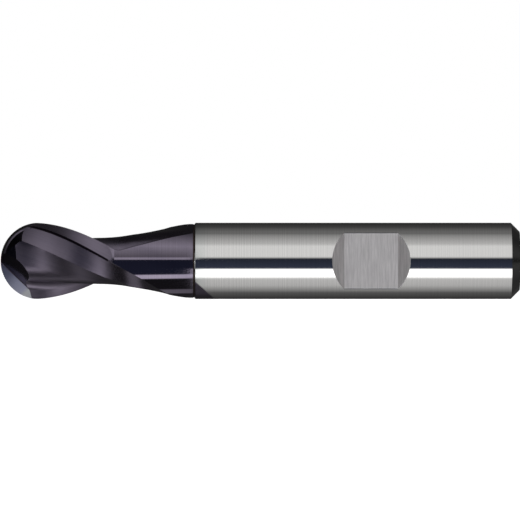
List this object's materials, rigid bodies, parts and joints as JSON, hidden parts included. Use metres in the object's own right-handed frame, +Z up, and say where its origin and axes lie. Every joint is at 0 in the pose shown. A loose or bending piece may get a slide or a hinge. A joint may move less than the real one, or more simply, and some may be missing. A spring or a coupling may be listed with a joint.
{
  "type": "end mill",
  "caption": "Ball-nose end mill: a coated carbide head with helical flutes, brazed into a ground steel shank with a side-lock flat.",
  "frame": {"origin": "on the tool's axis, level with the middle of the clamping flat on the shank", "axes": "+X along the tool from the tip to the rear end, -Y out of the clamping flat, +Z up with the tool lying on its side"},
  "size_m": [0.068, 0.01, 0.01],
  "materials": {
    "coated_carbide": "dark violet-grey hard coating over ground carbide",
    "braze": "dull braze metal",
    "ground_steel": "bright cylindrical grind"
  },
  "bodies": {
    "root": {"cutting_head": "coated_carbide", "braze_joint": "braze", "shank": "ground_steel"}
  },
  "joints": []
}
